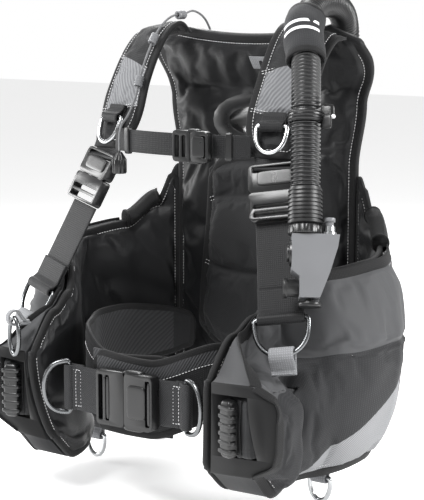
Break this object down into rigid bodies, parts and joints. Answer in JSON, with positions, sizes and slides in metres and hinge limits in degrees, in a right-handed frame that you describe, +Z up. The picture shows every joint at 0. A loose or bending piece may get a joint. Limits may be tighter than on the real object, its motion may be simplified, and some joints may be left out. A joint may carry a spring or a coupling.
{
  "type": "buoyancy compensator vest",
  "caption": "Jacket-style diving vest with a padded back on a tank plate, wrap-round air lobes, weight pockets, buckled straps, dump valves and a corrugated inflator hose.",
  "frame": {"origin": "on the tank seat, the flat rear face of the back plate, on the vest's middle plane and 14 mm above the middle of the tank band", "axes": "+X towards the wearer's left, +Y to the rear, towards the diving cylinder, +Z up towards the collar"},
  "size_m": [0.4622, 0.5266, 0.5582],
  "materials": {
    "nylon": "plain woven nylon, matt",
    "woven": "coarse woven nylon, matt",
    "strapping": "black nylon webbing",
    "grey_strapping": "light grey nylon webbing",
    "plastic": "black moulded, satin",
    "grey_plastic": "grey moulded, satin",
    "rubber": "black, satin",
    "steel": "polished stainless wire",
    "dark_steel": "dark plated wire"
  },
  "bodies": {
    "vest": {"accessory_tab": "grey_strapping", "back_cell": "nylon", "back_pad": "woven", "back_plate": "plastic", "belt_left": "strapping", "belt_right": "strapping", "cam_buckle": "plastic", "chest_clip": "plastic", "chest_socket": "plastic", "chest_strap_left": "strapping", "chest_strap_right": "strapping", "cummerbund_left": "woven", "cummerbund_right": "woven", "hose_clip": "plastic", "hose_cover": "woven", "hose_elbow": "plastic", "hose_upper": "rubber", "lobe_left": "nylon", "lobe_right": "nylon", "pocket_left": "woven", "pocket_right": "woven", "rear_dump_cord": "strapping", "rear_dump_valve": "plastic", "ring_tab_left": "strapping", "ring_tab_right": "strapping", "ring_tie_left": "grey_strapping", "ring_tie_right": "grey_strapping", "shoulder_clip_left": "plastic", "shoulder_clip_right": "plastic", "shoulder_dump_cord": "strapping", "shoulder_dump_valve": "plastic", "shoulder_socket_left": "plastic", "shoulder_socket_right": "plastic", "shoulder_webbing_left": "strapping", "shoulder_webbing_right": "strapping", "shoulder_yoke_left": "woven", "shoulder_yoke_right": "woven", "strap_ring_left": "dark_steel", "strap_ring_right": "dark_steel", "tank_strap": "strapping", "waist_clip": "plastic", "waist_socket": "plastic"},
    "cam_lever": {"cam_lever": "plastic"},
    "shoulder_ring_left": {"shoulder_ring_left": "steel"},
    "shoulder_ring_right": {"shoulder_ring_right": "steel"},
    "belt_ring_left": {"belt_ring_left": "plastic"},
    "belt_ring_right": {"belt_ring_right": "plastic"},
    "hem_ring_left": {"hem_ring_left": "steel"},
    "hem_ring_right": {"hem_ring_right": "steel"},
    "weight_pouch_left": {"weight_pouch_left": "plastic"},
    "weight_pouch_right": {"weight_pouch_right": "plastic"},
    "accessory_clip": {"accessory_clip": "dark_steel"},
    "inflator": {"hose_lower": "rubber", "inflator_body": "grey_plastic", "mouthpiece": "rubber"},
    "inflate_button": {"inflate_button": "plastic"},
    "deflate_button": {"deflate_button": "plastic"},
    "shoulder_dump_knob": {"shoulder_dump_knob": "plastic"},
    "rear_dump_knob": {"rear_dump_knob": "plastic"}
  },
  "joints": [
    {"name": "cam_lever_hinge", "type": "hinge", "parent": "vest", "child": "cam_lever", "pos_m": [0.03, 0.1974, -0.014], "axis": [0, 0, -1], "range_deg": [0, 150]},
    {"name": "shoulder_ring_left_swing", "type": "hinge", "parent": "vest", "child": "shoulder_ring_left", "pos_m": [0.1082, -0.1728, 0.19475], "axis": [-0.9696, -0.2446, -0.005], "range_deg": [0, 100]},
    {"name": "shoulder_ring_right_swing", "type": "hinge", "parent": "vest", "child": "shoulder_ring_right", "pos_m": [-0.1082, -0.1728, 0.19475], "axis": [-0.9696, 0.2446, 0.005], "range_deg": [0, 100]},
    {"name": "belt_ring_left_swing", "type": "hinge", "parent": "vest", "child": "belt_ring_left", "pos_m": [0.079, -0.28925, -0.092], "axis": [0, 0, -1], "range_deg": [0, 60]},
    {"name": "belt_ring_right_swing", "type": "hinge", "parent": "vest", "child": "belt_ring_right", "pos_m": [-0.079, -0.28925, -0.092], "axis": [0, 0, 1], "range_deg": [0, 45]},
    {"name": "hem_ring_left_swing", "type": "hinge", "parent": "vest", "child": "hem_ring_left", "pos_m": [0.157, -0.148, -0.189], "axis": [1, 0, 0], "range_deg": [-60, 60]},
    {"name": "hem_ring_right_swing", "type": "hinge", "parent": "vest", "child": "hem_ring_right", "pos_m": [-0.157, -0.148, -0.189], "axis": [1, 0, 0], "range_deg": [-60, 60]},
    {"name": "accessory_clip_swing", "type": "hinge", "parent": "vest", "child": "accessory_clip", "pos_m": [-0.138, -0.3124, -0.018], "axis": [-0.9536, 0.3011, 0], "range_deg": [0, 60]},
    {"name": "weight_pouch_left_slide", "type": "slide", "parent": "vest", "child": "weight_pouch_left", "axis": [-0.2667, -0.9638, 0], "range_m": [0, 0.1]},
    {"name": "weight_pouch_right_slide", "type": "slide", "parent": "vest", "child": "weight_pouch_right", "axis": [0.2667, -0.9638, 0], "range_m": [0, 0.1]},
    {"name": "inflator_swing", "type": "hinge", "parent": "vest", "child": "inflator", "pos_m": [0.15876, -0.20405, 0.19801], "axis": [-0.9832, 0, -0.1825], "range_deg": [0, 75]},
    {"name": "inflate_button_press", "type": "slide", "parent": "inflator", "child": "inflate_button", "axis": [0.8225, 0.5686, -0.0149], "range_m": [0, 0.003], "stiffness_N_per_m": 400},
    {"name": "deflate_button_press", "type": "slide", "parent": "inflator", "child": "deflate_button", "axis": [-0.1753, 0.2783, 0.9443], "range_m": [0, 0.003], "stiffness_N_per_m": 400},
    {"name": "shoulder_dump_pull", "type": "slide", "parent": "vest", "child": "shoulder_dump_knob", "axis": [0, 0, -1], "range_m": [0, 0.015], "stiffness_N_per_m": 250},
    {"name": "rear_dump_pull", "type": "slide", "parent": "vest", "child": "rear_dump_knob", "axis": [0, 0, -1], "range_m": [0, 0.015], "stiffness_N_per_m": 250}
  ]
}
